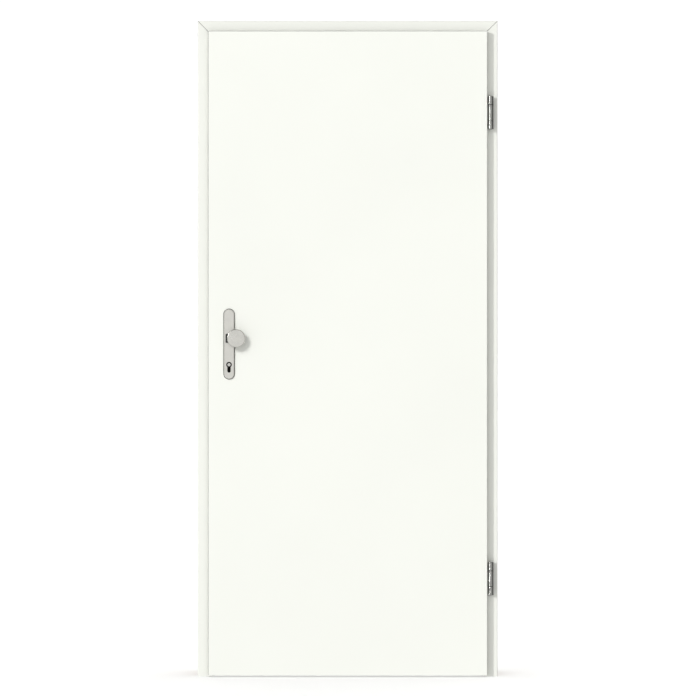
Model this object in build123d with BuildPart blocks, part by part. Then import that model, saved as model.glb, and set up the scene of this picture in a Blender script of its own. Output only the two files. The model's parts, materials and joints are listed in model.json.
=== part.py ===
"""Apartment entrance door: a rebated leaf on two three-part hinges in a mitred timber frame."""

import os

from build123d import *

os.makedirs("parts", exist_ok=True)

# X runs along the wall towards the hinge side, Y into the wall and Z up.
# The origin is on the wall side of the hinge lining, at floor level, midway through the wall.

# Leaf
leaf_width = 860.0
leaf_height = 1985.0
leaf_thickness = 40.0
lip_width = 13.0
lip_thickness = 14.5
facing_thickness = 3.0
facing_edge_radius = 2.0
back_edge_radius = 1.0
hinge_stile_width = 60.0
lock_stile_width = 120.0
top_rail_height = 60.0
bottom_rail_height = 80.0

# Frame
lining_depth = 145.0
lining_thickness = 22.0
lining_edge_radius = 1.5
stop_width = 15.0
architrave_width = 40.5
architrave_thickness = 16.0
architrave_edge_radius = 2.0
back_architrave_reveal = 5.0
mitre_chamfer = 1.2
mitre_overrun = 10.0
tongue_thickness = 5.0
tongue_depth = 14.0

# Gaps between the leaf and what is round it
leaf_gap = 5.0
lip_gap = 5.0
floor_gap = 5.0
seal_gap = 0.5

# Bulb seal in the stop
seal_height = 6.0
seal_width = 9.0
seal_wall = 1.2
seal_shoulder = 1.8
seal_foot_width = 3.4
seal_foot_depth = 6.5

# Hinges
hinge_top_drop = 252.0
hinge_spacing = 1435.0
barrel_radius = 9.0
barrel_edge_gap = 2.0
frame_knuckle_length = 25.5
leaf_knuckle_length = 48.0
knuckle_end_radius = 1.2
knuckle_chamfer = 0.5
knuckle_end_wall = 4.0
washer_thickness = 1.2
washer_inset = 0.8
washer_gap = 0.3
pin_radius = 5.0
pin_clearance = 0.08
wing_thickness = 3.0
wing_leg = 22.0
neck_thickness = 4.0
neck_height = 20.0
neck_back_cover = 1.5

# Lock
lock_axis_height = 1043.0
lock_centres = 81.0
backset = 52.0
faceplate_length = 235.0
faceplate_width = 18.0
faceplate_thickness = 3.0
faceplate_margin = 0.4
faceplate_top = 80.0
lock_case_height = 165.0
lock_case_depth = 82.0
lock_case_thickness = 14.0
lock_case_top = 45.0
bolt_width = 9.0
bolt_depth = 36.0
bolt_chamfer = 0.8
latch_height = 28.0
latch_rise = 14.0
latch_nose = 9.0
latch_tip = 1.5
dead_bolt_height = 32.0
dead_bolt_drop = 34.0
strike_width = 23.0
strike_length = 190.0
strike_thickness = 2.5
strike_margin = 2.5
strike_pocket_depth = 12.0
strike_hole_slack = 0.8

# Door furniture
plate_length = 215.0
plate_width = 32.0
plate_thickness = 8.0
plate_top = 90.0
plate_edge_radius = 2.5
knob_radius = 28.0
knob_thickness = 12.0
knob_projection = 36.0
knob_crank = 23.0
knob_front_radius = 3.0
knob_back_radius = 4.0
neck_foot_width = 10.0
neck_foot_height = 18.0
neck_foot_rise = 4.0
neck_crank = 8.5
neck_head_width = 17.0
neck_head_height = 28.0
knob_collar_width = 21.0
knob_collar_height = 28.0
knob_collar_thickness = 3.0
knob_collar_radius = 3.0
lever_radius = 9.5
lever_reach = 48.0
lever_length = 118.0
lever_bend = 16.0
lever_end_radius = 3.0
lever_collar_radius = 14.0
lever_collar_thickness = 5.0

# Profile cylinder
cylinder_radius = 8.5
cylinder_height = 33.0
cylinder_tail_width = 10.0
cylinder_recess = 1.5
cylinder_slack = 1.0
plug_radius = 5.0
plug_depth = 12.0
plug_rise = 1.0
keyway_width = 2.0
keyway_height = 7.0
keyway_depth = 8.0

# Drop seal in the bottom of the leaf
drop_seal_width = 14.0
drop_seal_height = 30.0
drop_seal_wall = 1.5
drop_lip_height = 18.0
drop_lip_show = 1.0
drop_lip_radius = 2.0

# Clearance round pieces let into the timber
fit = 0.2

# Positions across the wall
lining_front = -lining_depth / 2
lining_back = lining_depth / 2
architrave_front = lining_front - architrave_thickness
lip_back = architrave_front - lip_gap
leaf_front = lip_back - lip_thickness
leaf_back = leaf_front + leaf_thickness
core_front = leaf_front + facing_thickness
core_back = leaf_back - facing_thickness
stop_face = leaf_back + seal_gap + seal_height

# Positions along the wall
rebate_to_wall = lining_thickness - stop_width
hinge_rebate = -rebate_to_wall
body_hinge_edge = hinge_rebate - leaf_gap
lip_hinge_edge = body_hinge_edge + lip_width
lip_lock_edge = lip_hinge_edge - leaf_width
body_lock_edge = lip_lock_edge + lip_width
lock_rebate = body_lock_edge - leaf_gap

# Heights
leaf_bottom = floor_gap
lip_top = leaf_bottom + leaf_height
body_top = lip_top - lip_width
head_rebate = body_top + leaf_gap

# Hinge, lock and furniture positions
axis_x = lip_hinge_edge + barrel_edge_gap + barrel_radius
axis_y = lip_back - barrel_radius
barrel_length = 2 * (frame_knuckle_length + washer_thickness + washer_gap) + leaf_knuckle_length
upper_hinge_z = lip_top - hinge_top_drop
hinge_heights = {"upper": upper_hinge_z, "lower": upper_hinge_z - hinge_spacing}
lock_axis_x = body_lock_edge + backset
lock_y = core_back - faceplate_margin - faceplate_width / 2
cylinder_z = lock_axis_height - lock_centres
latch_z = lock_axis_height + latch_rise
dead_bolt_z = lock_axis_height - dead_bolt_drop
plate_z = lock_axis_height + plate_top - plate_length / 2
plate_front = leaf_front - plate_thickness
plate_back = leaf_back + plate_thickness
knob_x = lock_axis_x + knob_crank
knob_front = leaf_front - knob_projection
knob_back = knob_front + knob_thickness
strike_y = architrave_front + strike_margin + strike_width / 2
drop_seal_y = (lip_back + core_back) / 2
knuckle_offset = (barrel_length - frame_knuckle_length) / 2
faceplate_z = lock_axis_height + faceplate_top - faceplate_length / 2
lock_case_z = lock_axis_height + lock_case_top - lock_case_height / 2
bolts = ((latch_z, latch_height), (dead_bolt_z, dead_bolt_height))
body_width = leaf_width - 2 * lip_width
core_lock_side = body_lock_edge + lock_stile_width
core_width = body_width - lock_stile_width - hinge_stile_width

# Each run of the frame is drawn with u outwards from the rebate face and v into the wall.
run_over = architrave_width + mitre_overrun
hinge_run = Plane((hinge_rebate, 0, 0), x_dir=(1, 0, 0), z_dir=(0, 0, 1))
lock_run = Plane((lock_rebate, 0, head_rebate + run_over), x_dir=(-1, 0, 0), z_dir=(0, 0, -1))
head_run = Plane((hinge_rebate + run_over, 0, head_rebate), x_dir=(0, 0, 1), z_dir=(-1, 0, 0))
jamb_length = head_rebate + run_over
head_length = hinge_rebate - lock_rebate + 2 * run_over
hinge_mitre = Plane((hinge_rebate, 0, head_rebate), x_dir=(0, 1, 0), z_dir=(1, 0, -1))
lock_mitre = Plane((lock_rebate, 0, head_rebate), x_dir=(0, 1, 0), z_dir=(-1, 0, -1))
runs = {
    "hinge": (hinge_run, jamb_length, [(hinge_mitre, Keep.TOP)]),
    "lock": (lock_run, jamb_length, [(lock_mitre, Keep.TOP)]),
    "head": (head_run, head_length, [(hinge_mitre, Keep.BOTTOM), (lock_mitre, Keep.BOTTOM)]),
}

# Planes on the rebates and edges, with local X into the wall and local Y up
strike_plane = Plane((lock_rebate, strike_y, 0), x_dir=(0, 1, 0), z_dir=(1, 0, 0))
strike_hole_plane = Plane((lock_rebate, lock_y, 0), x_dir=(0, 1, 0), z_dir=(1, 0, 0))
edge_plane = Plane((body_lock_edge, lock_y, 0), x_dir=(0, 1, 0), z_dir=(1, 0, 0))
drop_seal_plane = Plane((body_hinge_edge, drop_seal_y, leaf_bottom), x_dir=(0, 1, 0), z_dir=(1, 0, 0))


def facing_viewer(x, y, z):
    """Plane that looks out of the front of the door."""
    return Plane((x, y, z), x_dir=(1, 0, 0), z_dir=(0, -1, 0))


def facing_inside(x, y, z):
    """Plane that looks out of the back of the door."""
    return Plane((x, y, z), x_dir=(-1, 0, 0), z_dir=(0, 1, 0))


def mitre_vee(mitre, face, depth):
    """Section of the small vee where the eased edges of a mitre meet on a face."""
    with BuildSketch(
        Plane(
            (mitre.origin.X, face, mitre.origin.Z),
            x_dir=mitre.z_dir,
            z_dir=mitre.z_dir.cross(Vector(0, 1, 0)),
        )
    ) as section:
        with BuildLine():
            Polyline((-mitre_chamfer, 0), (mitre_chamfer, 0), (0, depth), close=True)
        make_face()
    return section.sketch


def lining_section(plane):
    """Board with a rebate out of its front corner and grooves for the seal and the tongue."""
    with BuildSketch(plane) as section:
        with BuildLine():
            Polyline(
                (0, lining_front),
                (rebate_to_wall, lining_front),
                (rebate_to_wall, lining_back),
                (-stop_width, lining_back),
                (-stop_width, stop_face),
                (0, stop_face),
                close=True,
            )
        make_face()
        stop_corner = section.vertices().sort_by_distance((-stop_width, stop_face, 0))[0]
        fillet(stop_corner, lining_edge_radius)
        with Locations((-stop_width / 2, stop_face)):
            Rectangle(
                seal_foot_width + 2 * fit,
                seal_foot_depth + fit,
                align=(Align.CENTER, Align.MIN),
                mode=Mode.SUBTRACT,
            )
        with Locations(((rebate_to_wall - stop_width) / 2, lining_back)):
            Rectangle(
                tongue_thickness + 2 * fit,
                tongue_depth + fit,
                align=(Align.CENTER, Align.MAX),
                mode=Mode.SUBTRACT,
            )
    return section.sketch


def front_architrave_section(plane):
    """Flat architrave with its two outer edges rounded."""
    with BuildSketch(plane) as section:
        with Locations((0, architrave_front)):
            Rectangle(architrave_width, architrave_thickness, align=(Align.MIN, Align.MIN))
        fillet(section.vertices().group_by(Axis.Y)[0], architrave_edge_radius)
    return section.sketch


def back_architrave_section(plane):
    """Flat architrave with a tongue that slides in the groove of the lining."""
    inner = -stop_width + back_architrave_reveal
    with BuildSketch(plane) as section:
        with Locations((inner, lining_back)):
            Rectangle(architrave_width - inner, architrave_thickness, align=(Align.MIN, Align.MIN))
        fillet(section.vertices().group_by(Axis.Y)[-1], architrave_edge_radius)
        with Locations(((rebate_to_wall - stop_width) / 2, lining_back)):
            Rectangle(tongue_thickness, tongue_depth, align=(Align.CENTER, Align.MAX))
    return section.sketch


def seal_section(plane):
    """Hollow bulb on a foot that fills the groove of the stop."""
    middle = -stop_width / 2
    half = seal_width / 2
    hollow = half - seal_shoulder
    hollow_base = stop_face - seal_wall
    crown = stop_face - seal_height
    with BuildSketch(plane) as section:
        with BuildLine():
            ThreePointArc((middle - half, stop_face), (middle, crown), (middle + half, stop_face))
            Line((middle + half, stop_face), (middle - half, stop_face))
        make_face()
        with BuildLine():
            ThreePointArc(
                (middle - hollow, hollow_base), (middle, crown + seal_wall), (middle + hollow, hollow_base)
            )
            Line((middle + hollow, hollow_base), (middle - hollow, hollow_base))
        make_face(mode=Mode.SUBTRACT)
        with Locations((middle, stop_face)):
            Rectangle(seal_foot_width, seal_foot_depth, align=(Align.CENTER, Align.MIN))
    return section.sketch


def cylinder_section(plane, slack=0.0):
    """Outline of a profile cylinder: a round head with a narrower tail below it."""
    tail = cylinder_tail_width / 2
    tail_drop = cylinder_height - cylinder_radius - tail
    with BuildSketch(plane) as section:
        Circle(cylinder_radius + slack)
        Rectangle(2 * (tail + slack), tail_drop, align=(Align.CENTER, Align.MAX))
        with Locations((0, -tail_drop)):
            Circle(tail + slack)
    return section.sketch


# Linings of the two jambs and the head
for side, (plane, length, mitres) in runs.items():
    with BuildPart() as lining:
        extrude(lining_section(plane), amount=length)
        for mitre, keep in mitres:
            split(bisect_by=mitre, keep=keep)
        if side == "lock":
            with BuildSketch(strike_plane):
                with Locations((0, lock_axis_height)):
                    SlotOverall(strike_length + 2 * fit, strike_width + 2 * fit, rotation=90)
            extrude(amount=-strike_thickness, mode=Mode.SUBTRACT)
    lining.part.label = f"{side}_lining"
    export_step(lining.part, f"parts/{side}_lining.step")

# Front architraves: slots take the hinge necks, pockets behind the strike take the bolts
for side, (plane, length, mitres) in runs.items():
    with BuildPart() as front_architrave:
        extrude(front_architrave_section(plane), amount=length)
        for mitre, keep in mitres:
            split(bisect_by=mitre, keep=keep)
            vee = mitre_vee(mitre, architrave_front, mitre_chamfer)
            extrude(vee, amount=run_over * 2, both=True, mode=Mode.SUBTRACT)
        if side == "hinge":
            for hinge_z in hinge_heights.values():
                for knuckle_z in (hinge_z - knuckle_offset, hinge_z + knuckle_offset):
                    with BuildSketch(facing_viewer(axis_x, architrave_front, knuckle_z)):
                        Rectangle(neck_thickness + 2 * fit, neck_height + 2 * fit)
                    extrude(amount=-(architrave_thickness - neck_back_cover + fit), mode=Mode.SUBTRACT)
        if side == "lock":
            with BuildSketch(strike_plane):
                with Locations((0, lock_axis_height)):
                    SlotOverall(strike_length + 2 * fit, strike_width + 2 * fit, rotation=90)
            extrude(amount=-strike_thickness, mode=Mode.SUBTRACT)
            with BuildSketch(strike_hole_plane):
                for bolt_z, bolt_height in bolts:
                    with Locations((0, bolt_z)):
                        Rectangle(bolt_width + 2 * strike_hole_slack, bolt_height + 2 * strike_hole_slack)
            extrude(amount=-strike_thickness - strike_pocket_depth, mode=Mode.SUBTRACT)
    front_architrave.part.label = f"{side}_front_architrave"
    export_step(front_architrave.part, f"parts/{side}_front_architrave.step")

# Back architraves
for side, (plane, length, mitres) in runs.items():
    with BuildPart() as back_architrave:
        extrude(back_architrave_section(plane), amount=length)
        for mitre, keep in mitres:
            split(bisect_by=mitre, keep=keep)
            vee = mitre_vee(mitre, lining_back + architrave_thickness, -mitre_chamfer)
            extrude(vee, amount=run_over * 2, both=True, mode=Mode.SUBTRACT)
    back_architrave.part.label = f"{side}_back_architrave"
    export_step(back_architrave.part, f"parts/{side}_back_architrave.step")

# Seals in the stops
for side, (plane, length, mitres) in runs.items():
    with BuildPart() as seal:
        extrude(seal_section(plane), amount=length)
        for mitre, keep in mitres:
            split(bisect_by=mitre, keep=keep)
    seal.part.label = f"{side}_seal"
    export_step(seal.part, f"parts/{side}_seal.step")

# Strike plate, flush with the rebate of the lock jamb
with BuildPart() as strike_plate:
    with BuildSketch(strike_plane):
        with Locations((0, lock_axis_height)):
            SlotOverall(strike_length, strike_width, rotation=90)
    extrude(amount=-strike_thickness)
    with BuildSketch(strike_hole_plane):
        for bolt_z, bolt_height in bolts:
            with Locations((0, bolt_z)):
                Rectangle(bolt_width + 2 * strike_hole_slack, bolt_height + 2 * strike_hole_slack)
    extrude(amount=-strike_thickness, mode=Mode.SUBTRACT)
strike_plate.part.label = "strike_plate"
export_step(strike_plate.part, "parts/strike_plate.step")

# Hinges: two knuckles on the frame, one on the leaf, a pin and two bearing washers
for name, hinge_z in hinge_heights.items():
    barrel_bottom = hinge_z - barrel_length / 2
    with BuildPart() as frame_knuckles:
        for end in (-1, 1):
            outer_end = Plane((axis_x, axis_y, hinge_z + end * barrel_length / 2), z_dir=(0, 0, -end))
            with BuildSketch(outer_end):
                Circle(barrel_radius)
            extrude(amount=frame_knuckle_length)
            with BuildSketch(facing_viewer(axis_x, axis_y, hinge_z + end * knuckle_offset)):
                Rectangle(neck_thickness, neck_height)
            extrude(amount=-(lining_front - neck_back_cover - axis_y))
            with BuildSketch(outer_end.offset(knuckle_end_wall)):
                Circle(pin_radius + pin_clearance)
            extrude(amount=frame_knuckle_length, mode=Mode.SUBTRACT)
        rims = frame_knuckles.edges().filter_by(GeomType.CIRCLE)
        rims = rims.filter_by(lambda edge: abs(edge.radius - barrel_radius) < fit).group_by(Axis.Z)
        fillet(rims[0] + rims[-1], knuckle_end_radius)
        chamfer(rims[1] + rims[-2], knuckle_chamfer)
    frame_knuckles.part.label = f"{name}_hinge_frame_knuckles"
    export_step(frame_knuckles.part, f"parts/{name}_hinge_frame_knuckles.step")

    with BuildPart() as leaf_knuckle:
        with BuildSketch(Plane((axis_x, axis_y, hinge_z))):
            Circle(barrel_radius)
        extrude(amount=leaf_knuckle_length / 2, both=True)
        chamfer(leaf_knuckle.edges().filter_by(GeomType.CIRCLE), knuckle_chamfer)
        with BuildSketch(Plane((0, 0, hinge_z))) as wing:
            with BuildLine():
                Polyline(
                    (axis_x, lip_back),
                    (body_hinge_edge, lip_back),
                    (body_hinge_edge, lip_back + wing_leg),
                    (body_hinge_edge - wing_thickness, lip_back + wing_leg),
                    (body_hinge_edge - wing_thickness, lip_back - wing_thickness),
                    (axis_x, lip_back - wing_thickness),
                    close=True,
                )
            make_face()
            outside_bend = (body_hinge_edge - wing_thickness, lip_back - wing_thickness, 0)
            fillet(wing.vertices().sort_by_distance(outside_bend)[0], wing_thickness)
        extrude(amount=leaf_knuckle_length / 2 - knuckle_chamfer, both=True)
        with BuildSketch(Plane((axis_x, axis_y, hinge_z))):
            Circle(pin_radius + pin_clearance)
        extrude(amount=leaf_knuckle_length / 2, both=True, mode=Mode.SUBTRACT)
    leaf_knuckle.part.label = f"{name}_hinge_leaf_knuckle"
    export_step(leaf_knuckle.part, f"parts/{name}_hinge_leaf_knuckle.step")

    with BuildPart() as hinge_pin:
        with BuildSketch(Plane((axis_x, axis_y, barrel_bottom + knuckle_end_wall))):
            Circle(pin_radius)
        extrude(amount=barrel_length - 2 * knuckle_end_wall)
    hinge_pin.part.label = f"{name}_hinge_pin"
    export_step(hinge_pin.part, f"parts/{name}_hinge_pin.step")

    with BuildPart() as washers:
        for end in (-1, 1):
            seat_z = hinge_z + end * (barrel_length / 2 - frame_knuckle_length)
            with BuildSketch(Plane((axis_x, axis_y, seat_z), z_dir=(0, 0, -end))):
                Circle(barrel_radius - washer_inset)
                Circle(pin_radius + pin_clearance, mode=Mode.SUBTRACT)
            extrude(amount=washer_thickness)
    washers.part.label = f"{name}_hinge_washers"
    export_step(washers.part, f"parts/{name}_hinge_washers.step")

# Hinge stile of the leaf, recessed for the hinge wings and grooved below for the drop seal
with BuildPart() as hinge_stile:
    with BuildSketch(Plane((0, 0, leaf_bottom))):
        with Locations((body_hinge_edge - hinge_stile_width, core_front)):
            Rectangle(
                hinge_stile_width + lip_width, lip_back - core_front, align=(Align.MIN, Align.MIN)
            )
    extrude(amount=leaf_height)
    with BuildSketch(Plane((0, 0, leaf_bottom))):
        with Locations((body_hinge_edge - hinge_stile_width, lip_back)):
            Rectangle(hinge_stile_width, core_back - lip_back, align=(Align.MIN, Align.MIN))
    extrude(amount=leaf_height - lip_width)
    for hinge_z in hinge_heights.values():
        with BuildSketch(Plane((0, 0, hinge_z))):
            with BuildLine():
                Polyline(
                    (lip_hinge_edge, lip_back),
                    (body_hinge_edge, lip_back),
                    (body_hinge_edge, lip_back + wing_leg + fit),
                    (body_hinge_edge - wing_thickness, lip_back + wing_leg + fit),
                    (body_hinge_edge - wing_thickness, lip_back - wing_thickness),
                    (lip_hinge_edge, lip_back - wing_thickness),
                    close=True,
                )
            make_face()
        extrude(amount=leaf_knuckle_length / 2 + fit, both=True, mode=Mode.SUBTRACT)
    with BuildSketch(drop_seal_plane):
        Rectangle(drop_seal_width, drop_seal_height, align=(Align.CENTER, Align.MIN))
    extrude(amount=-leaf_width, mode=Mode.SUBTRACT)
hinge_stile.part.label = "leaf_hinge_stile"
export_step(hinge_stile.part, "parts/leaf_hinge_stile.step")

# Lock stile of the leaf, mortised for the lock and bored for the cylinder
with BuildPart() as lock_stile:
    with BuildSketch(Plane((0, 0, leaf_bottom))):
        with Locations((lip_lock_edge, core_front)):
            Rectangle(lock_stile_width + lip_width, lip_back - core_front, align=(Align.MIN, Align.MIN))
    extrude(amount=leaf_height)
    with BuildSketch(Plane((0, 0, leaf_bottom))):
        with Locations((body_lock_edge, lip_back)):
            Rectangle(lock_stile_width, core_back - lip_back, align=(Align.MIN, Align.MIN))
    extrude(amount=leaf_height - lip_width)
    with BuildSketch(edge_plane):
        with Locations((0, faceplate_z)):
            SlotOverall(faceplate_length + 2 * fit, faceplate_width + 2 * fit, rotation=90)
    extrude(amount=faceplate_thickness, mode=Mode.SUBTRACT)
    with BuildSketch(edge_plane):
        with Locations((0, lock_case_z)):
            Rectangle(lock_case_thickness + 2 * fit, lock_case_height + 2 * fit)
    extrude(amount=faceplate_thickness + lock_case_depth + fit, mode=Mode.SUBTRACT)
    extrude(
        cylinder_section(facing_viewer(lock_axis_x, core_front, cylinder_z), cylinder_slack),
        amount=-leaf_thickness,
        mode=Mode.SUBTRACT,
    )
    with BuildSketch(drop_seal_plane):
        Rectangle(drop_seal_width, drop_seal_height, align=(Align.CENTER, Align.MIN))
    extrude(amount=-leaf_width, mode=Mode.SUBTRACT)
lock_stile.part.label = "leaf_lock_stile"
export_step(lock_stile.part, "parts/leaf_lock_stile.step")

# Rails and core between the stiles
with BuildPart() as top_rail:
    with BuildSketch(Plane((0, 0, body_top - top_rail_height))):
        with Locations((core_lock_side, core_front)):
            Rectangle(core_width, lip_back - core_front, align=(Align.MIN, Align.MIN))
    extrude(amount=top_rail_height + lip_width)
    with BuildSketch(Plane((0, 0, body_top - top_rail_height))):
        with Locations((core_lock_side, lip_back)):
            Rectangle(core_width, core_back - lip_back, align=(Align.MIN, Align.MIN))
    extrude(amount=top_rail_height)
top_rail.part.label = "leaf_top_rail"
export_step(top_rail.part, "parts/leaf_top_rail.step")

with BuildPart() as bottom_rail:
    with BuildSketch(Plane((0, 0, leaf_bottom))):
        with Locations((core_lock_side, core_front)):
            Rectangle(core_width, core_back - core_front, align=(Align.MIN, Align.MIN))
    extrude(amount=bottom_rail_height)
    with BuildSketch(drop_seal_plane):
        Rectangle(drop_seal_width, drop_seal_height, align=(Align.CENTER, Align.MIN))
    extrude(amount=-leaf_width, mode=Mode.SUBTRACT)
bottom_rail.part.label = "leaf_bottom_rail"
export_step(bottom_rail.part, "parts/leaf_bottom_rail.step")

with BuildPart() as core:
    with BuildSketch(Plane((0, 0, leaf_bottom + bottom_rail_height))):
        with Locations((core_lock_side, core_front)):
            Rectangle(core_width, core_back - core_front, align=(Align.MIN, Align.MIN))
    extrude(amount=body_top - top_rail_height - leaf_bottom - bottom_rail_height)
core.part.label = "leaf_core"
export_step(core.part, "parts/leaf_core.step")

# Facings glued to both sides of the stiles, rails and core
with BuildPart() as front_facing:
    with BuildSketch(facing_viewer(lip_lock_edge, core_front, leaf_bottom)):
        Rectangle(leaf_width, leaf_height, align=(Align.MIN, Align.MIN))
    extrude(amount=facing_thickness)
    front_face = front_facing.faces().sort_by(Axis.Y)[0]
    fillet(front_face.edges().sort_by(Axis.Z)[1:], facing_edge_radius)
    extrude(
        cylinder_section(facing_viewer(lock_axis_x, core_front, cylinder_z), cylinder_slack),
        amount=facing_thickness,
        mode=Mode.SUBTRACT,
    )
front_facing.part.label = "leaf_front_facing"
export_step(front_facing.part, "parts/leaf_front_facing.step")

with BuildPart() as back_facing:
    with BuildSketch(facing_viewer(body_lock_edge, core_back, leaf_bottom)):
        Rectangle(leaf_width - 2 * lip_width, leaf_height - lip_width, align=(Align.MIN, Align.MIN))
    extrude(amount=-facing_thickness)
    back_face = back_facing.faces().sort_by(Axis.Y)[-1]
    fillet(back_face.edges().sort_by(Axis.Z)[1:], back_edge_radius)
    extrude(
        cylinder_section(facing_viewer(lock_axis_x, core_back, cylinder_z), cylinder_slack),
        amount=-facing_thickness,
        mode=Mode.SUBTRACT,
    )
back_facing.part.label = "leaf_back_facing"
export_step(back_facing.part, "parts/leaf_back_facing.step")

# Drop seal: a channel let into the bottom edge, with the lip drawn up
with BuildPart() as drop_seal_housing:
    with BuildSketch(drop_seal_plane):
        Rectangle(
            drop_seal_width - 2 * fit, drop_seal_height - fit, align=(Align.CENTER, Align.MIN)
        )
        Rectangle(
            drop_seal_width - 2 * fit - 2 * drop_seal_wall,
            drop_seal_height - fit - drop_seal_wall,
            align=(Align.CENTER, Align.MIN),
            mode=Mode.SUBTRACT,
        )
    extrude(amount=-body_width)
drop_seal_housing.part.label = "drop_seal_housing"
export_step(drop_seal_housing.part, "parts/drop_seal_housing.step")

with BuildPart() as drop_seal_lip:
    with BuildSketch(drop_seal_plane):
        with Locations((0, -drop_lip_show)):
            Rectangle(
                drop_seal_width - 4 * fit - 2 * drop_seal_wall,
                drop_lip_height,
                align=(Align.CENTER, Align.MIN),
            )
    extrude(amount=-body_width)
    lip_edges = drop_seal_lip.edges().filter_by(Axis.X).group_by(Axis.Z)[0]
    fillet(lip_edges, drop_lip_radius)
drop_seal_lip.part.label = "drop_seal_lip"
export_step(drop_seal_lip.part, "parts/drop_seal_lip.step")

# Mortise lock, with both bolts drawn back
with BuildPart() as lock_faceplate:
    with BuildSketch(edge_plane):
        with Locations((0, faceplate_z)):
            SlotOverall(faceplate_length, faceplate_width, rotation=90)
        for bolt_z, bolt_height in bolts:
            with Locations((0, bolt_z)):
                Rectangle(bolt_width + 2 * fit, bolt_height + 2 * fit, mode=Mode.SUBTRACT)
    extrude(amount=faceplate_thickness)
lock_faceplate.part.label = "lock_faceplate"
export_step(lock_faceplate.part, "parts/lock_faceplate.step")

with BuildPart() as lock_case:
    with BuildSketch(edge_plane.offset(faceplate_thickness)):
        with Locations((0, lock_case_z)):
            Rectangle(lock_case_thickness, lock_case_height)
    extrude(amount=lock_case_depth)
    with BuildSketch(edge_plane.offset(faceplate_thickness)):
        for bolt_z, bolt_height in bolts:
            with Locations((0, bolt_z)):
                Rectangle(bolt_width + 2 * fit, bolt_height + 2 * fit)
    extrude(amount=bolt_depth - faceplate_thickness + fit, mode=Mode.SUBTRACT)
    extrude(
        cylinder_section(facing_viewer(lock_axis_x, core_front, cylinder_z), fit),
        amount=-leaf_thickness,
        mode=Mode.SUBTRACT,
    )
lock_case.part.label = "lock_case"
export_step(lock_case.part, "parts/lock_case.step")

with BuildPart() as latch_bolt:
    with BuildSketch(Plane((body_lock_edge, lock_y, latch_z))):
        with BuildLine():
            Polyline(
                (0, -bolt_width / 2),
                (bolt_depth, -bolt_width / 2),
                (bolt_depth, bolt_width / 2),
                (latch_nose, bolt_width / 2),
                (0, latch_tip - bolt_width / 2),
                close=True,
            )
        make_face()
    extrude(amount=latch_height / 2, both=True)
latch_bolt.part.label = "latch_bolt"
export_step(latch_bolt.part, "parts/latch_bolt.step")

with BuildPart() as dead_bolt:
    with BuildSketch(edge_plane):
        with Locations((0, dead_bolt_z)):
            Rectangle(bolt_width, dead_bolt_height)
    extrude(amount=bolt_depth)
    chamfer(dead_bolt.faces().sort_by(Axis.X)[0].edges(), bolt_chamfer)
dead_bolt.part.label = "dead_bolt"
export_step(dead_bolt.part, "parts/dead_bolt.step")

# Front plate with the cranked knob
with BuildPart() as front_plate:
    with BuildSketch(facing_viewer(lock_axis_x, leaf_front, plate_z)):
        SlotOverall(plate_length, plate_width, rotation=90)
    extrude(amount=plate_thickness)
    fillet(front_plate.faces().sort_by(Axis.Y)[0].edges(), plate_edge_radius)
    extrude(
        cylinder_section(facing_viewer(lock_axis_x, leaf_front, cylinder_z), fit),
        amount=plate_thickness,
        mode=Mode.SUBTRACT,
    )
front_plate.part.label = "front_plate"
export_step(front_plate.part, "parts/front_plate.step")

with BuildPart() as knob_collar:
    with BuildSketch(facing_viewer(lock_axis_x, plate_front, lock_axis_height)):
        RectangleRounded(knob_collar_width, knob_collar_height, knob_collar_radius)
        Ellipse(neck_foot_width / 2 + fit, neck_foot_height / 2 + fit, mode=Mode.SUBTRACT)
    extrude(amount=knob_collar_thickness)
knob_collar.part.label = "knob_collar"
export_step(knob_collar.part, "parts/knob_collar.step")

with BuildPart() as knob:
    foot = facing_viewer(lock_axis_x, plate_front, lock_axis_height)
    with BuildSketch(foot):
        Ellipse(neck_foot_width / 2, neck_foot_height / 2)
    extrude(amount=neck_foot_rise)
    with BuildSketch(foot.offset(neck_foot_rise)):
        Ellipse(neck_foot_width / 2, neck_foot_height / 2)
    with BuildSketch(facing_viewer(lock_axis_x + neck_crank, knob_back, lock_axis_height)):
        Ellipse(neck_head_width / 2, neck_head_height / 2)
    loft()
    with BuildSketch(Plane((knob_x, knob_front, lock_axis_height), x_dir=(1, 0, 0), z_dir=(0, 0, 1))) as disc:
        Rectangle(knob_radius, knob_thickness, align=(Align.MIN, Align.MIN))
        fillet(disc.vertices().sort_by_distance((knob_radius, 0, 0))[0], knob_front_radius)
        fillet(disc.vertices().sort_by_distance((knob_radius, knob_thickness, 0))[0], knob_back_radius)
    revolve(axis=Axis((knob_x, 0, lock_axis_height), (0, 1, 0)))
knob.part.label = "knob"
export_step(knob.part, "parts/knob.step")

# Profile cylinder through the leaf, with a plug at each end
with BuildPart() as cylinder_body:
    extrude(
        cylinder_section(facing_viewer(lock_axis_x, plate_front + cylinder_recess, cylinder_z)),
        amount=-(plate_back - plate_front - 2 * cylinder_recess),
    )
    for end in (
        facing_viewer(lock_axis_x, plate_front + cylinder_recess, cylinder_z),
        facing_inside(lock_axis_x, plate_back - cylinder_recess, cylinder_z),
    ):
        with BuildSketch(end):
            Circle(plug_radius + pin_clearance)
        extrude(amount=-plug_depth, mode=Mode.SUBTRACT)
cylinder_body.part.label = "cylinder_body"
export_step(cylinder_body.part, "parts/cylinder_body.step")

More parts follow.
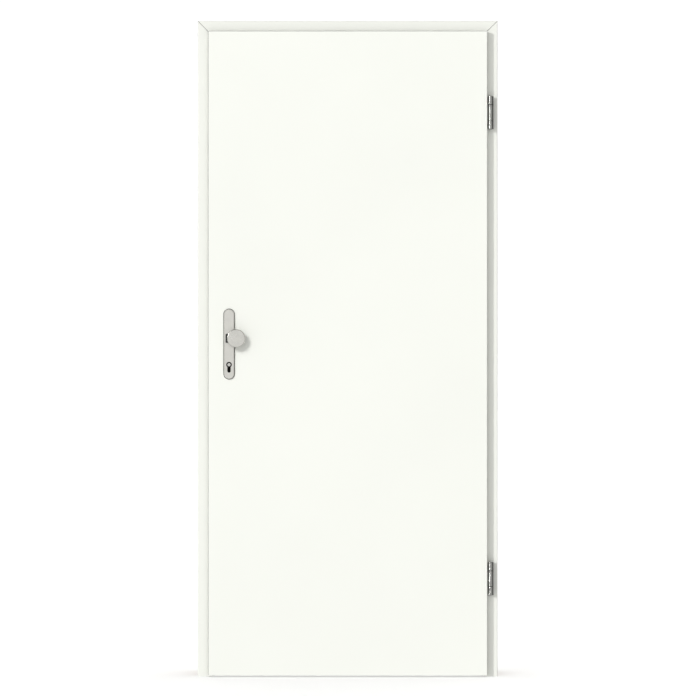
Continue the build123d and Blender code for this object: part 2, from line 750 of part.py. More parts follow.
for name, end in (
    ("front", facing_viewer(lock_axis_x, plate_front + cylinder_recess, cylinder_z)),
    ("back", facing_inside(lock_axis_x, plate_back - cylinder_recess, cylinder_z)),
):
    with BuildPart() as cylinder_plug:
        with BuildSketch(end.offset(plug_rise)):
            Circle(plug_radius)
        extrude(amount=-plug_depth - plug_rise)
        with BuildSketch(end.offset(plug_rise)):
            Rectangle(keyway_width, keyway_height)
        extrude(amount=-keyway_depth, mode=Mode.SUBTRACT)
    cylinder_plug.part.label = f"cylinder_{name}_plug"
    export_step(cylinder_plug.part, f"parts/cylinder_{name}_plug.step")

# Back plate with the lever
with BuildPart() as back_plate:
    with BuildSketch(facing_inside(lock_axis_x, leaf_back, plate_z)):
        SlotOverall(plate_length, plate_width, rotation=90)
    extrude(amount=plate_thickness)
    fillet(back_plate.faces().sort_by(Axis.Y)[-1].edges(), plate_edge_radius)
    extrude(
        cylinder_section(facing_viewer(lock_axis_x, leaf_back, cylinder_z), fit),
        amount=-plate_thickness,
        mode=Mode.SUBTRACT,
    )
back_plate.part.label = "back_plate"
export_step(back_plate.part, "parts/back_plate.step")

with BuildPart() as lever_collar:
    with BuildSketch(facing_inside(lock_axis_x, plate_back, lock_axis_height)):
        Circle(lever_collar_radius)
        Circle(lever_radius + fit, mode=Mode.SUBTRACT)
    extrude(amount=lever_collar_thickness)
lever_collar.part.label = "lever_collar"
export_step(lever_collar.part, "parts/lever_collar.step")

with BuildPart() as lever_handle:
    with BuildLine() as lever_path:
        FilletPolyline(
            (lock_axis_x, plate_back, lock_axis_height),
            (lock_axis_x, plate_back + lever_reach, lock_axis_height),
            (lock_axis_x + lever_length, plate_back + lever_reach, lock_axis_height),
            radius=lever_bend,
        )
    with BuildSketch(facing_inside(lock_axis_x, plate_back, lock_axis_height)):
        Circle(lever_radius)
    sweep()
    fillet(lever_handle.faces().sort_by(Axis.X)[-1].edges(), lever_end_radius)
lever_handle.part.label = "lever_handle"
export_step(lever_handle.part, "parts/lever_handle.step")
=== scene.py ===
"""Looks of the apartment entrance door: finishes for every CAD node, small fasteners, light and camera."""

import json
import math

import bmesh
import bpy
from mathutils import Matrix, Vector


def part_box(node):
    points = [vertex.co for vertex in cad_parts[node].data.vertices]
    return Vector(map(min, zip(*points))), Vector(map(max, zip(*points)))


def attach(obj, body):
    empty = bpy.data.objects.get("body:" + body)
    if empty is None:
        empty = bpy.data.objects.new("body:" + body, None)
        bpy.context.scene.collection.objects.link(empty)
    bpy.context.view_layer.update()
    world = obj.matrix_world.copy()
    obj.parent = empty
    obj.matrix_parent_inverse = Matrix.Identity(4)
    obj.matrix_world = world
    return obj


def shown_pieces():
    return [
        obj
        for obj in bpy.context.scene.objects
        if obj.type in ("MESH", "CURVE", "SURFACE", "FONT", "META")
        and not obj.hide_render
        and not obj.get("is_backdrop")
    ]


# Directions in the shared frame
TOWARDS_HINGE = (1, 0, 0)
TOWARDS_LOCK = (-1, 0, 0)
TOWARDS_FRONT = (0, -1, 0)
TOWARDS_BACK = (0, 1, 0)

# Camera, in metres: level and square on to the leaf, with the door framed as in the photograph
CAMERA_X = -0.4279
CAMERA_Z = 1.0133
CAMERA_DISTANCE = 9.0
CAMERA_PITCH_DEG = 90.0
VIEW_WIDTH = 2.1430
SENSOR_MM = 36.0

# Lamps, each with the way its light travels: a key from the upper left, a softer one for the front of the
# leaf, a glint on the hinges, one on the back and one over the floor
KEY_TRAVEL = (1.14, 1.0, -0.47)
KEY_STRENGTH = 1.7
KEY_ANGLE_DEG = 3.5
LEAF_KEY_TRAVEL = (0.46, 1.0, -0.46)
LEAF_KEY_STRENGTH = 1.76
LEAF_KEY_ANGLE_DEG = 16.0
HINGE_GLINT_TRAVEL = (1.14, 1.0, 0.0)
HINGE_GLINT_STRENGTH = 1.4
HINGE_GLINT_ANGLE_DEG = 2.0
BACK_TRAVEL = (-0.6, -1.0, -0.75)
BACK_STRENGTH = 1.5
BACK_ANGLE_DEG = 5.0
OVERHEAD_TRAVEL = (0.0, 0.0, -1.0)
OVERHEAD_STRENGTH = 2.2
OVERHEAD_ANGLE_DEG = 50.0

# Room: dim above and paler below, with a broad soft box before and behind the door; the backdrop is white.
# The box starts and is full where a direction leans that far along its axis, and the room fades with height.
SOFT_BOX_AXIS = (-0.15, -1.0, -0.1)
SOFT_BOX_START = 0.25
SOFT_BOX_FULL = 0.65
SOFT_BOX_STRENGTH = 0.96
ROOM_TOP = 0.03
ROOM_LOW = 0.45
ROOM_FADE_START = -0.5
ROOM_FADE_END = 0.2
BACKDROP_STRENGTH = 1.05

# Floor, in metres
FLOOR_SIZE = 800.0
FLOOR_COLOUR = (0.64, 0.64, 0.632)
FLOOR_ROUGHNESS = 0.9
FLOOR_GLOW = 0.34

# Colours
WHITE = (1.0, 1.0, 1.0)
LEAF_WHITE = (0.772, 0.782, 0.729)
FRAME_WHITE = (0.832, 0.842, 0.784)
CHIP_PALE = (0.62, 0.45, 0.26)
CHIP_DARK = (0.36, 0.22, 0.11)
RAW_PALE = (0.50, 0.38, 0.25)
RAW_DARK = (0.40, 0.29, 0.18)
SEAL_GREY = (0.52, 0.52, 0.50)
NICKEL = (0.28, 0.282, 0.267)
# Painted light: the satin tone is lifted to make up for the key light that the front plate is kept out of,
# and the knob has a dimmer copy of it because the knob gets that light
LIFTED_SATIN_TONE = (0.713, 0.703, 0.656)
KNOB_DIMMED_TONE = (0.64, 0.632, 0.59)
ZINC = (0.58, 0.59, 0.60)
BLACK = (0.012, 0.012, 0.012)
# The cylinder body is near-black, darker than the black plastic: its own dark finish, deepened as painted
# shade in the keyhole
BURNISHED_AND_SHADED = (0.006, 0.0058, 0.0055)
PLUG_NICKEL = (0.64, 0.635, 0.60)
MILL = (0.70, 0.70, 0.70)

# Finishes: a shade is a share of the colour, and a pair runs from its first value to its second
LACQUER_DRIFT = (0.985, 1.01)
LACQUER_ROUGHNESS = (0.36, 0.46)
LACQUER_EDGE_SHADE = 0.93
LACQUER_EDGE_COVER = 0.35
CHIPBOARD_ROUGHNESS = (0.7, 0.9)
RUBBER_DUST = (0.97, 1.05)
RUBBER_ROUGHNESS = (0.55, 0.75)
METAL_SMUDGE = (0.95, 1.03)
PLASTIC_SPECKLE = (0.8, 1.6)
PLASTIC_ROUGHNESS = (0.42, 0.58)
PLASTIC_EDGE_SHADE = 4.0

# Ways a pattern can run: the smaller the number, the longer the pattern is along that axis
ALONG_Z = (1.0, 1.0, 0.02)
ALONG_X = (0.02, 1.0, 1.0)
RINGS_UP_Z = (0.03, 0.03, 1.0)
EVEN = (1.0, 1.0, 1.0)
RAW_FIBRES = (1.0, 1.0, 0.4)
FLAT_CHIPS = (1.0, 1.0, 2.5)

# Wear on edges: how far the true normal agrees with the rounded one, and where the noise shows wear
BEVEL_SAMPLES = 4
EDGE_AGREEMENT = 0.8
FLAT_AGREEMENT = 0.985
WEAR_START = 0.38
WEAR_FULL = 0.6

# Lines and faces that are told by their place, in metres; a facing is a part of a unit normal
# The band along the top and lock edges of the leaf is painted shadow, the shade of the gap between leaf and
# frame
GAP_SHADOW_BAND = 0.0024
GAP_SHADOW_FADE = 0.00048
GAP_SHADOW_SHADE = 0.6
MITRE_LINE = 0.0014
MITRE_FADE = 0.00042
MITRE_SHADE = 0.5
PLANE_SLACK = 0.0004
FACING_SLACK = 0.1

# Screws, in metres
RING_SIDES = 48
LOBES = 6
SOCKET_RADIUS = 0.0019
SOCKET_LOBE = 0.00034
SOCKET_DEPTH = 0.0015
SOCKET_TAPER = 0.94
SCREW_DEPTH = 0.0022
SCREW_PROUD = 0.00025
SCREW_CHAMFER = 0.0003
WOOD_SCREW_RADIUS = 0.0040
WOOD_SCREW_TIP = 0.0020
PLATE_SCREW_RADIUS = 0.0045
PLATE_SCREW_TIP = 0.0027
CYLINDER_SCREW_RADIUS = 0.0034
CYLINDER_SCREW_TIP = 0.00204

# Places of the screws, in metres; a hinge screw's are in from the back of the wing and up from its middle
HINGE_SCREWS = ((0.013, -0.016), (0.007, 0.0), (0.013, 0.016))
FACEPLATE_SCREW_INSET = 0.010
STRIKE_SCREW_INSET = 0.014
PLATE_SCREW_INSET = 0.019
PLATE_SCREW_OVER_CYLINDER = 0.034

# Turn of the first screw in a row, and how much further each of the next is turned
UPPER_HINGE_TURN_DEG = 11.0
LOWER_HINGE_TURN_DEG = 37.0
HINGE_TURN_STEP_DEG = 17.0
FACEPLATE_TURN_STEP_DEG = 23.0
CYLINDER_TURN_DEG = 8.0
STRIKE_TURN_STEP_DEG = 31.0
PLATE_TURN_STEP_DEG = 19.0

# Plunger of the drop seal, in metres; the profile has shares of the reach and of the radius
PLUNGER_RADIUS = 0.0030
PLUNGER_REACH = 0.0030
PLUNGER_DROP = 0.0065
PLUNGER_PROFILE = ((-1.0, 1.0), (0.6, 1.0), (0.88, 0.85), (1.0, 0.5))

# Shade beads, in metres: black beads round the foot of the plates, a painted shade line along their outline;
# the profile goes out from the plate and up from the leaf, in shares of the size
SHADE_BEAD_SIZE = 0.0016
SHADE_BEAD_STEPS = 96
SHADE_BEAD_PROFILE = ((0.05, 0.0), (0.05, 0.7), (0.45, 1.0), (0.8, 0.75), (1.0, 0.0))

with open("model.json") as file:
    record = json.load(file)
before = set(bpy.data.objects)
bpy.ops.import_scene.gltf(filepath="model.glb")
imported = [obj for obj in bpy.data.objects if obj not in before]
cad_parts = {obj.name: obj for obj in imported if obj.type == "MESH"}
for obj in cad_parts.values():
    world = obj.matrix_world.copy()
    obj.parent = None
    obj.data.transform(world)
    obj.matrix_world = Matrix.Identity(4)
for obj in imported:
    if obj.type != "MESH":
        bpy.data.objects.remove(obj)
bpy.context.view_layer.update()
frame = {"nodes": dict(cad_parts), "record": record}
nodes = frame["nodes"]
scene = bpy.context.scene
leaf_front_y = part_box("leaf_front_facing")[0].y
leaf_back_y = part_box("leaf_back_facing")[1].y


# Helpers for shader nodes

def plug(tree, node, inputs):
    """Sets a node's inputs, given by name or number, each to a value or to a socket that is linked to it."""
    for name, value in inputs.items():
        if isinstance(value, bpy.types.NodeSocket):
            tree.links.new(value, node.inputs[name])
        else:
            node.inputs[name].default_value = value


def add(tree, kind, inputs=None, **settings):
    """Adds a node, with its settings as properties."""
    made = tree.nodes.new(kind)
    for name, value in settings.items():
        setattr(made, name, value)
    plug(tree, made, inputs or {})
    return made


def calc(tree, operation, *values):
    """Result of a Math node; each value is a number or a socket."""
    return add(tree, "ShaderNodeMath", dict(enumerate(values)), operation=operation).outputs["Value"]


def dot(tree, first, second):
    """Dot product of two vectors."""
    return add(tree, "ShaderNodeVectorMath", {0: first, 1: second}, operation="DOT_PRODUCT").outputs["Value"]


def split(tree, vector):
    """The sockets X, Y and Z of a vector."""
    return add(tree, "ShaderNodeSeparateXYZ", {"Vector": vector}).outputs


def rgba(colour, shade=1.0):
    """A colour with alpha, brightened or darkened by a shade."""
    return (*[min(1.0, part * shade) for part in colour], 1.0)


def new_material(name, colour, roughness, metallic=0.0):
    """A material with flat values; returns it with its tree, Principled shader and object coordinates."""
    material = bpy.data.materials.new(name)
    material.use_nodes = True
    material.diffuse_color = rgba(colour)
    tree = material.node_tree
    shader = tree.nodes["Principled BSDF"]
    mean_roughness = sum(roughness) / len(roughness)
    plug(tree, shader, {"Base Color": rgba(colour), "Metallic": metallic, "Roughness": mean_roughness})
    coords = add(tree, "ShaderNodeTexCoord").outputs["Object"]
    return material, tree, shader, coords


def stretched(tree, coords, way):
    """Coordinates scaled by axis, for a pattern that runs one way."""
    return add(tree, "ShaderNodeMapping", {"Vector": coords, "Scale": way}).outputs["Vector"]


def noise(tree, coords, scale, detail=2.0):
    """Noise between 0 and 1; scale is features a metre, before any stretching."""
    made = add(tree, "ShaderNodeTexNoise", {"Vector": coords, "Scale": scale, "Detail": detail})
    return made.outputs["Fac"]


def spread(tree, value, low, high, start=0.3, end=0.7):
    """Maps a value from start..end to low..high."""
    inputs = {"Value": value, "From Min": start, "From Max": end, "To Min": low, "To Max": high}
    return add(tree, "ShaderNodeMapRange", inputs).outputs["Result"]


def between(tree, factor, first, second):
    """A ramp from the first colour to the second."""
    ramp = add(tree, "ShaderNodeValToRGB", {"Fac": factor})
    ramp.color_ramp.elements[0].color = first
    ramp.color_ramp.elements[1].color = second
    return ramp.outputs["Color"]


def mottled(tree, factor, colour, shades):
    """A colour that drifts from one shade of itself to another."""
    first, second = shades
    return between(tree, factor, rgba(colour, first), rgba(colour, second))


def laid_over(tree, factor, base, top):
    """Base colour with another laid over it where factor is high."""
    mix = add(tree, "ShaderNodeMix", {"Factor": factor, "A": base, "B": top}, data_type="RGBA")
    return mix.outputs["Result"]


def bump(tree, height, strength, distance):
    """Normal of a surface that a height raises."""
    inputs = {"Height": height, "Strength": strength, "Distance": distance}
    return add(tree, "ShaderNodeBump", inputs).outputs["Normal"]


# Masks

def edge_mask(tree, coords, radius, breakup):
    """1 along edges and 0 on flats, broken up by noise as wear is."""
    rounded = add(tree, "ShaderNodeBevel", {"Radius": radius}, samples=BEVEL_SAMPLES).outputs["Normal"]
    agreement = dot(tree, rounded, add(tree, "ShaderNodeNewGeometry").outputs["Normal"])
    edge = spread(tree, agreement, 1.0, 0.0, EDGE_AGREEMENT, FLAT_AGREEMENT)
    patches = spread(tree, noise(tree, coords, breakup, detail=4.0), 0.0, 1.0, WEAR_START, WEAR_FULL)
    return calc(tree, "MULTIPLY", edge, patches)


def gap_shadow_mask(tree, coords):
    """1 on the narrow band of painted shadow along the top and lock edges of the leaf, where the gap beside
    it lies in shade, and 0 inside it.
    """
    low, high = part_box("leaf_front_facing")
    place = split(tree, coords)
    from_lock = calc(tree, "SUBTRACT", place["X"], low.x)
    from_top = calc(tree, "SUBTRACT", high.z, place["Z"])
    nearest = calc(tree, "MINIMUM", from_lock, from_top)
    return spread(tree, nearest, 1.0, 0.0, GAP_SHADOW_BAND - GAP_SHADOW_FADE, GAP_SHADOW_BAND)


def mitre_mask(tree, coords):
    """1 on the fine joint line across the architraves at the two top corners, and 0 elsewhere."""
    low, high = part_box("head_front_architrave")
    place = split(tree, coords)
    from_top = calc(tree, "SUBTRACT", high.z, place["Z"])
    from_lock = calc(tree, "SUBTRACT", place["X"], low.x)
    from_hinge = calc(tree, "SUBTRACT", high.x, place["X"])
    from_side = calc(tree, "MINIMUM", from_lock, from_hinge)
    off_line = calc(tree, "ABSOLUTE", calc(tree, "SUBTRACT", from_top, from_side))
    line = spread(tree, off_line, 1.0, 0.0, MITRE_LINE - MITRE_FADE, MITRE_LINE)
    lining_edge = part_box("head_lining")[1].y + PLANE_SLACK
    beyond_lining = calc(tree, "GREATER_THAN", calc(tree, "ABSOLUTE", place["Y"]), lining_edge)
    return calc(tree, "MULTIPLY", line, beyond_lining)


def planes_mask(tree, coords, planes):
    """1 on faces in one of the planes, each an axis, a position and the way it faces, and 0 elsewhere."""
    place = split(tree, coords)
    normal = split(tree, add(tree, "ShaderNodeNewGeometry").outputs["Normal"])
    mask = 0.0
    for axis, position, facing in planes:
        near = calc(tree, "COMPARE", place[axis], position, PLANE_SLACK)
        faces = calc(tree, "COMPARE", normal[axis], facing, FACING_SLACK)
        mask = calc(tree, "MAXIMUM", mask, calc(tree, "MULTIPLY", near, faces))
    return mask


# Finishes

def lacquer(name, colour, painted_gap_shadow=False, raw_planes=()):
    """Sprayed satin lacquer: slight drift of tone, fine orange peel and handled edges.

    The leaf has a band of painted shadow along its top and lock edges. The frame has mitre lines, and raw
    board in the planes given.
    """
    material, tree, shader, coords = new_material(name, colour, LACQUER_ROUGHNESS)
    drift = spread(tree, noise(tree, coords, scale=1.7, detail=3.0), 0.0, 1.0)
    tone = mottled(tree, drift, colour, LACQUER_DRIFT)
    if painted_gap_shadow:
        # Painted shadow: a darker band along the top and lock edges of the leaf
        tone = laid_over(tree, gap_shadow_mask(tree, coords), tone, rgba(colour, GAP_SHADOW_SHADE))
    handled = calc(tree, "MULTIPLY", edge_mask(tree, coords, radius=0.0015, breakup=35.0), LACQUER_EDGE_COVER)
    tone = laid_over(tree, handled, tone, rgba(colour, LACQUER_EDGE_SHADE))
    rough = spread(tree, noise(tree, coords, scale=24.0, detail=4.0), *LACQUER_ROUGHNESS)
    if raw_planes:
        tone = laid_over(tree, mitre_mask(tree, coords), tone, rgba(colour, MITRE_SHADE))
        raw = planes_mask(tree, coords, raw_planes)
        fibres = noise(tree, stretched(tree, coords, RAW_FIBRES), scale=330.0, detail=4.0)
        board = between(tree, spread(tree, fibres, 0.0, 1.0), rgba(RAW_DARK), rgba(RAW_PALE))
        tone = laid_over(tree, raw, tone, board)
        rough = calc(tree, "MAXIMUM", rough, raw)
    peel = bump(tree, noise(tree, coords, scale=420.0), strength=1.0, distance=0.00002)
    plug(tree, shader, {"Base Color": tone, "Roughness": rough, "Normal": peel})
    return material


def chipboard(name):
    """Raw particle board: pale and dark chips pressed together."""
    material, tree, shader, coords = new_material(name, CHIP_PALE, CHIPBOARD_ROUGHNESS)
    flat = stretched(tree, coords, FLAT_CHIPS)
    chips = add(tree, "ShaderNodeTexVoronoi", {"Vector": flat, "Scale": 260.0}).outputs
    pick = add(tree, "ShaderNodeSeparateColor", {"Color": chips["Color"]}).outputs["Red"]
    tone = between(tree, pick, rgba(CHIP_DARK), rgba(CHIP_PALE))
    rough = spread(tree, noise(tree, coords, scale=500.0), *CHIPBOARD_ROUGHNESS)
    relief = bump(tree, chips["Distance"], strength=0.35, distance=0.0006)
    plug(tree, shader, {"Base Color": tone, "Roughness": rough, "Normal": relief})
    return material


def rubber(name):
    """Soft grey seal: matt, finely pitted, with a little dust."""
    material, tree, shader, coords = new_material(name, SEAL_GREY, RUBBER_ROUGHNESS)
    dust = spread(tree, noise(tree, coords, scale=150.0, detail=5.0), 0.0, 1.0, start=0.35, end=0.75)
    tone = mottled(tree, dust, SEAL_GREY, RUBBER_DUST)
    rough = spread(tree, noise(tree, coords, scale=160.0), *RUBBER_ROUGHNESS)
    pits = bump(tree, noise(tree, coords, scale=1500.0), strength=0.12, distance=0.0003)
    plug(tree, shader, {"Base Color": tone, "Roughness": rough, "Normal": pits})
    return material


def metal(name, colour, grain, roughness, lines, relief, edge_wear_or_painted_shade):
    """Metal with a grain that runs one way, drifting roughness, and edges rubbed bright, or darkened as
    painted shade.
    """
    material, tree, shader, coords = new_material(name, colour, roughness, metallic=1.0)
    streaks = noise(tree, stretched(tree, coords, grain), scale=lines, detail=3.0)
    smudge = noise(tree, coords, scale=45.0, detail=4.0)
    tone = mottled(tree, spread(tree, smudge, 0.0, 1.0), colour, METAL_SMUDGE)
    edge = edge_mask(tree, coords, radius=0.0008, breakup=220.0)
    tone = laid_over(tree, edge, tone, rgba(colour, edge_wear_or_painted_shade))
    rough = spread(tree, calc(tree, "ADD", streaks, smudge), *roughness, start=0.7, end=1.3)
    brushed = bump(tree, streaks, strength=relief, distance=0.0002)
    plug(tree, shader, {"Base Color": tone, "Roughness": rough, "Normal": brushed})
    return material


def plastic(name):
    """Matt black moulded plastic with a fine grain and paler rubbed edges."""
    material, tree, shader, coords = new_material(name, BLACK, PLASTIC_ROUGHNESS)
    speckle = spread(tree, noise(tree, coords, scale=90.0), 0.0, 1.0)
    tone = mottled(tree, speckle, BLACK, PLASTIC_SPECKLE)
    edge = edge_mask(tree, coords, radius=0.0004, breakup=300.0)
    tone = laid_over(tree, edge, tone, rgba(BLACK, PLASTIC_EDGE_SHADE))
    rough = spread(tree, noise(tree, coords, scale=400.0), *PLASTIC_ROUGHNESS)
    grain = bump(tree, noise(tree, coords, scale=3000.0), strength=0.15, distance=0.0002)
    plug(tree, shader, {"Base Color": tone, "Roughness": rough, "Normal": grain})
    return material


lining_low, lining_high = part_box("hinge_lining")
wall_planes = (
    ("X", lining_high.x, 1.0),
    ("X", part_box("lock_lining")[0].x, -1.0),
    ("Z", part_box("head_lining")[1].z, 1.0),
    ("Y", lining_low.y, 1.0),
    ("Y", lining_high.y, -1.0),
)
finishes = {
    "leaf_lacquer": lacquer("leaf_lacquer", LEAF_WHITE, painted_gap_shadow=True),
    "frame_lacquer": lacquer("frame_lacquer", FRAME_WHITE, raw_planes=wall_planes),
    "core_board": chipboard("core_board"),
    "seal_rubber": rubber("seal_rubber"),
    "hinge_nickel": metal(
        "hinge_nickel", NICKEL, RINGS_UP_Z, roughness=(0.18, 0.26), lines=2600.0, relief=0.08, edge_wear_or_painted_shade=1.15
    ),
    # Edges darkened below their colour: painted shade, a dark outline round the plates and lever
    "satin_fittings": metal(
        "satin_fittings", LIFTED_SATIN_TONE, ALONG_Z, roughness=(0.3, 0.4), lines=2400.0, relief=0.06, edge_wear_or_painted_shade=0.85
    ),
    "lock_steel": metal(
        "lock_steel", ZINC, ALONG_Z, roughness=(0.24, 0.4), lines=1500.0, relief=0.05, edge_wear_or_painted_shade=1.2
    ),
    "black_plastic": plastic("black_plastic"),
    # Near-black body: dark finish deepened as painted shade in the keyhole
    "cylinder_dark": metal(
        "cylinder_dark", BURNISHED_AND_SHADED, EVEN, roughness=(0.4, 0.55), lines=1800.0, relief=0.05, edge_wear_or_painted_shade=2.5
    ),
    # The plug's edges darkened to a third of its colour: painted shade, a dark ring round the plug in the
    # keyhole
    "cylinder_plug": metal(
        "cylinder_plug", PLUG_NICKEL, EVEN, roughness=(0.18, 0.3), lines=2500.0, relief=0.04, edge_wear_or_painted_shade=0.3
    ),
    "seal_channel": metal(
        "seal_channel", MILL, ALONG_X, roughness=(0.3, 0.42), lines=1800.0, relief=0.06, edge_wear_or_painted_shade=1.15
    ),
}
# A dimmer copy of the satin finish for the knob, which gets the key light, with its rim darkened: painted
# light and painted shade
knob_dimmed_copy_finish = metal(
    "knob_dimmed_copy", KNOB_DIMMED_TONE, EVEN, roughness=(0.2, 0.28), lines=2400.0, relief=0.04, edge_wear_or_painted_shade=0.9
)
screw_finish = metal(
    "screw_zinc", ZINC, EVEN, roughness=(0.22, 0.36), lines=2200.0, relief=0.05, edge_wear_or_painted_shade=1.2
)
for row in frame["record"]["subparts"]:
    node = row["node"]
    nodes[node].data.materials.clear()
    nodes[node].data.materials.append(knob_dimmed_copy_finish if node == "knob" else finishes[row["material_slot"]])


# Helpers for small pieces

def middle(node):
    """Middle of a node's box."""
    low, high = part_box(node)
    return (low + high) / 2


def join_loops(shape, first, second):
    """Quads between two closed loops of as many points."""
    for step in range(len(first)):
        after = (step + 1) % len(first)
        shape.faces.new((first[step], first[after], second[after], second[step]))


def finished_mesh(name, shape, finish):
    """Turns a shape into a mesh with one finish."""
    made = bpy.data.meshes.new(name)
    shape.to_mesh(made)
    shape.free()
    made.materials.append(finish)
    return made


def ring_mesh(name, rings, finish):
    """Mesh of rings joined in turn and closed at both ends; a ring is a height and a radius at an angle."""
    shape = bmesh.new()
    loops = []
    for height, radius in rings:
        loop = []
        for step in range(RING_SIDES):
            angle = math.tau * step / RING_SIDES
            reach = radius(angle)
            loop.append(shape.verts.new((reach * math.cos(angle), reach * math.sin(angle), height)))
        loops.append(loop)
    for lower, upper in zip(loops, loops[1:]):
        join_loops(shape, lower, upper)
    shape.faces.new(list(reversed(loops[0])))
    shape.faces.new(loops[-1])
    return finished_mesh(name, shape, finish)


def round_ring(reach):
    """Radius of a round ring."""
    return lambda angle: reach


def lobed_ring(share):
    """Radius of a ring with the lobes of a screw's socket."""
    return lambda angle: share * (SOCKET_RADIUS + SOCKET_LOBE * math.cos(LOBES * angle))


def seat(name, mesh, place, outwards, body, turn_deg=0.0):
    """Sets a piece on a face, with its top looking outwards; it rides a body."""
    piece = bpy.data.objects.new(name, mesh)
    scene.collection.objects.link(piece)
    facing = Vector(outwards).to_track_quat("Z", "Y").to_matrix().to_4x4()
    turn = Matrix.Rotation(math.radians(turn_deg), 4, "Z")
    piece.matrix_world = Matrix.Translation(place) @ facing @ turn
    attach(piece, body)


# Screws

def screw_mesh(name, radius, tip_radius):
    """Countersunk head with a six-lobed socket; its top stands a hair above the face it sits in."""
    rings = (
        (-SCREW_DEPTH, round_ring(tip_radius)),
        (SCREW_PROUD - SCREW_CHAMFER, round_ring(radius)),
        (SCREW_PROUD, round_ring(radius - SCREW_CHAMFER)),
        (SCREW_PROUD, lobed_ring(1.0)),
        (SCREW_PROUD - SOCKET_DEPTH, lobed_ring(SOCKET_TAPER)),
    )
    return ring_mesh(name, rings, screw_finish)


def seat_screws(name, mesh, places, outwards, body, step_deg, first_deg=0.0):
    """Sets a row of screws, each turned a step further than the last."""
    for count, place in enumerate(places):
        turn_deg = first_deg + step_deg * count
        seat(f"{name}_{count + 1}", mesh, place, outwards, body, turn_deg)


wood_screw = screw_mesh("wood_screw", WOOD_SCREW_RADIUS, WOOD_SCREW_TIP)
plate_screw = screw_mesh("plate_screw", PLATE_SCREW_RADIUS, PLATE_SCREW_TIP)
cylinder_screw = screw_mesh("cylinder_screw", CYLINDER_SCREW_RADIUS, CYLINDER_SCREW_TIP)

# Screws of the hinge wings, on the narrow edge of the leaf
edge_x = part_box("leaf_back_facing")[1].x
for hinge, first_deg in (("upper", UPPER_HINGE_TURN_DEG), ("lower", LOWER_HINGE_TURN_DEG)):
    knuckle = f"{hinge}_hinge_leaf_knuckle"
    wing_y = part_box(knuckle)[1].y
    wing_z = middle(knuckle).z
    places = [(edge_x, wing_y - inset, wing_z + rise) for inset, rise in HINGE_SCREWS]
    name = f"{hinge}_hinge_screw"
    seat_screws(name, wood_screw, places, TOWARDS_HINGE, "leaf", HINGE_TURN_STEP_DEG, first_deg)

# Screws of the lock faceplate, with the one that holds the cylinder
low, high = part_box("lock_faceplate")
face_y = middle("lock_faceplate").y
heights = (low.z + FACEPLATE_SCREW_INSET, high.z - FACEPLATE_SCREW_INSET)
places = [(low.x, face_y, height) for height in heights]
seat_screws("faceplate_screw", wood_screw, places, TOWARDS_LOCK, "leaf", FACEPLATE_TURN_STEP_DEG)
cylinder_z = middle("cylinder_front_plug").z
place = (low.x, face_y, cylinder_z)
seat("cylinder_screw", cylinder_screw, place, TOWARDS_LOCK, "leaf", CYLINDER_TURN_DEG)

# Screws of the strike plate
low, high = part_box("strike_plate")
heights = (low.z + STRIKE_SCREW_INSET, high.z - STRIKE_SCREW_INSET)
places = [(high.x, middle("strike_plate").y, height) for height in heights]
seat_screws("strike_screw", wood_screw, places, TOWARDS_HINGE, "frame", STRIKE_TURN_STEP_DEG)

# Screws of the back plate
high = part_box("back_plate")[1]
heights = (high.z - PLATE_SCREW_INSET, cylinder_z + PLATE_SCREW_OVER_CYLINDER)
places = [(middle("back_plate").x, high.y, height) for height in heights]
seat_screws("plate_screw", plate_screw, places, TOWARDS_BACK, "leaf", PLATE_TURN_STEP_DEG)

# Plunger that presses the drop seal down, at the hinge edge of the leaf
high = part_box("drop_seal_housing")[1]
rings = [(PLUNGER_REACH * height, round_ring(PLUNGER_RADIUS * radius)) for height, radius in PLUNGER_PROFILE]
plunger_mesh = ring_mesh("drop_seal_plunger", rings, finishes["black_plastic"])
place = (high.x, middle("drop_seal_housing").y, high.z - PLUNGER_DROP)
seat("drop_seal_plunger", plunger_mesh, place, TOWARDS_HINGE, "leaf")


# Black beads round the foot of the two plates: a painted shade line along their outline

def shade_bead_mesh(name, node):
    """Rounded black bead, painted shade that follows the outline of a plate, two half circles joined by
    straight lines.
    """
    low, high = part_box(node)
    radius = (high.x - low.x) / 2
    straight = (high.z - low.z) / 2 - radius
    shape = bmesh.new()
    loops = []
    for step in range(SHADE_BEAD_STEPS):
        angle = math.tau * step / SHADE_BEAD_STEPS
        rise = straight if math.sin(angle) >= 0 else -straight
        loop = []
        for out, up in SHADE_BEAD_PROFILE:
            reach = radius + out * SHADE_BEAD_SIZE
            point = (reach * math.cos(angle), reach * math.sin(angle) + rise, up * SHADE_BEAD_SIZE)
            loop.append(shape.verts.new(point))
        loops.append(loop)
    for here, following in zip(loops, loops[1:] + loops[:1]):
        join_loops(shape, here, following)
    bmesh.ops.recalc_face_normals(shape, faces=shape.faces)
    return finished_mesh(name, shape, finishes["black_plastic"])


for node, face_y, outwards in (
    ("front_plate", leaf_front_y, TOWARDS_FRONT),
    ("back_plate", leaf_back_y, TOWARDS_BACK),
):
    name = f"{node}_gasket"
    centre = middle(node)
    seat(name, shade_bead_mesh(name, node), (centre.x, face_y, centre.z), outwards, "leaf")

# Floor
bpy.ops.mesh.primitive_plane_add(size=FLOOR_SIZE, location=(CAMERA_X, 0, 0))
floor = bpy.context.object
floor.name = "floor"
floor_finish = bpy.data.materials.new("floor_white")
floor_finish.use_nodes = True
floor_finish.cycles.emission_sampling = "NONE"
plug(floor_finish.node_tree, floor_finish.node_tree.nodes["Principled BSDF"], {
    "Base Color": rgba(FLOOR_COLOUR),
    "Roughness": FLOOR_ROUGHNESS,
    "Specular IOR Level": 0.0,
    "Emission Color": rgba(WHITE),
    "Emission Strength": FLOOR_GLOW,
})
floor.data.materials.append(floor_finish)
floor.visible_diffuse = False
floor.visible_glossy = False
floor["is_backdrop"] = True


# Light

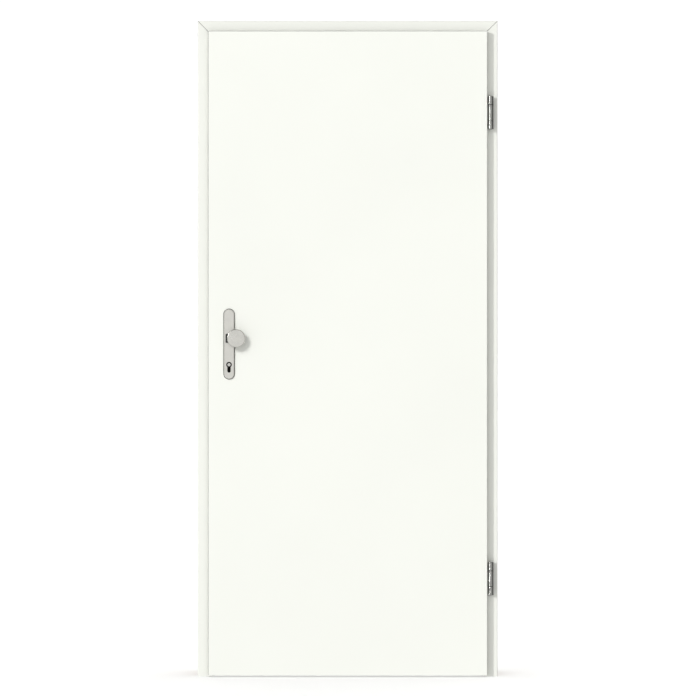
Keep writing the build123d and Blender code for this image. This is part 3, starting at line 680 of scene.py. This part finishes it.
def sun(name, travel, strength, angle_deg, receivers):
    """Distant lamp that lights only what is in a collection."""
    lamp = bpy.data.lights.new(name, "SUN")
    lamp.energy = strength
    lamp.angle = math.radians(angle_deg)
    made = bpy.data.objects.new(name, lamp)
    made.rotation_mode = "QUATERNION"
    made.rotation_quaternion = Vector(travel).to_track_quat("-Z", "Y")
    made.light_linking.receiver_collection = receivers
    scene.collection.objects.link(made)


def lit_group(name, pieces):
    """Collection of the pieces that a lamp lights."""
    group = bpy.data.collections.new(name)
    for piece in pieces:
        group.objects.link(piece)
    return group


leaf_face = nodes["leaf_front_facing"]
out_of_key = (leaf_face, nodes["front_plate"])
barrels = [piece for name, piece in nodes.items() if name.endswith(("frame_knuckles", "leaf_knuckle"))]
whole_door = lit_group("whole_door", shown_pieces())
in_key = lit_group("in_key", [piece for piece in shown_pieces() if piece not in out_of_key])
leaf_only = lit_group("leaf_face", [leaf_face])
barrels_only = lit_group("barrels", barrels)
ground = lit_group("ground", [floor])
sun("key", KEY_TRAVEL, KEY_STRENGTH, KEY_ANGLE_DEG, in_key)
sun("leaf_key", LEAF_KEY_TRAVEL, LEAF_KEY_STRENGTH, LEAF_KEY_ANGLE_DEG, leaf_only)
sun("hinge_glint", HINGE_GLINT_TRAVEL, HINGE_GLINT_STRENGTH, HINGE_GLINT_ANGLE_DEG, barrels_only)
sun("back_light", BACK_TRAVEL, BACK_STRENGTH, BACK_ANGLE_DEG, whole_door)
sun("overhead", OVERHEAD_TRAVEL, OVERHEAD_STRENGTH, OVERHEAD_ANGLE_DEG, ground)

# With the light tree, lamps that light only some of the pieces come out noisy and differ from run to run
scene.cycles.use_light_tree = False

# Room: what the camera sees of it is the backdrop
world = bpy.data.worlds.new("studio")
scene.world = world
world.use_nodes = True
sky = world.node_tree
sky.nodes.clear()
direction = add(sky, "ShaderNodeTexCoord").outputs["Generated"]
lean = calc(sky, "ABSOLUTE", dot(sky, direction, Vector(SOFT_BOX_AXIS).normalized()))
soft_box = spread(sky, lean, 0.0, SOFT_BOX_STRENGTH, SOFT_BOX_START, SOFT_BOX_FULL)
dim = spread(sky, split(sky, direction)["Z"], ROOM_LOW, ROOM_TOP, ROOM_FADE_START, ROOM_FADE_END)
glow = calc(sky, "MAXIMUM", soft_box, dim)
room = add(sky, "ShaderNodeBackground", {"Color": rgba(WHITE), "Strength": glow}).outputs[0]
backdrop = add(sky, "ShaderNodeBackground", {"Color": rgba(WHITE), "Strength": BACKDROP_STRENGTH}).outputs[0]
seen = add(sky, "ShaderNodeLightPath").outputs["Is Camera Ray"]
choice = add(sky, "ShaderNodeMixShader", {0: seen, 1: room, 2: backdrop}).outputs[0]
add(sky, "ShaderNodeOutputWorld", {"Surface": choice})

# Camera
camera_data = bpy.data.cameras.new("photo_view")
camera_data.sensor_width = SENSOR_MM
camera_data.lens = SENSOR_MM * CAMERA_DISTANCE / VIEW_WIDTH
camera = bpy.data.objects.new("photo_view", camera_data)
camera.location = (CAMERA_X, leaf_front_y - CAMERA_DISTANCE, CAMERA_Z)
camera.rotation_euler = (math.radians(CAMERA_PITCH_DEG), 0, 0)
scene.collection.objects.link(camera)
scene.camera = camera
scene.view_settings.view_transform = "Standard"
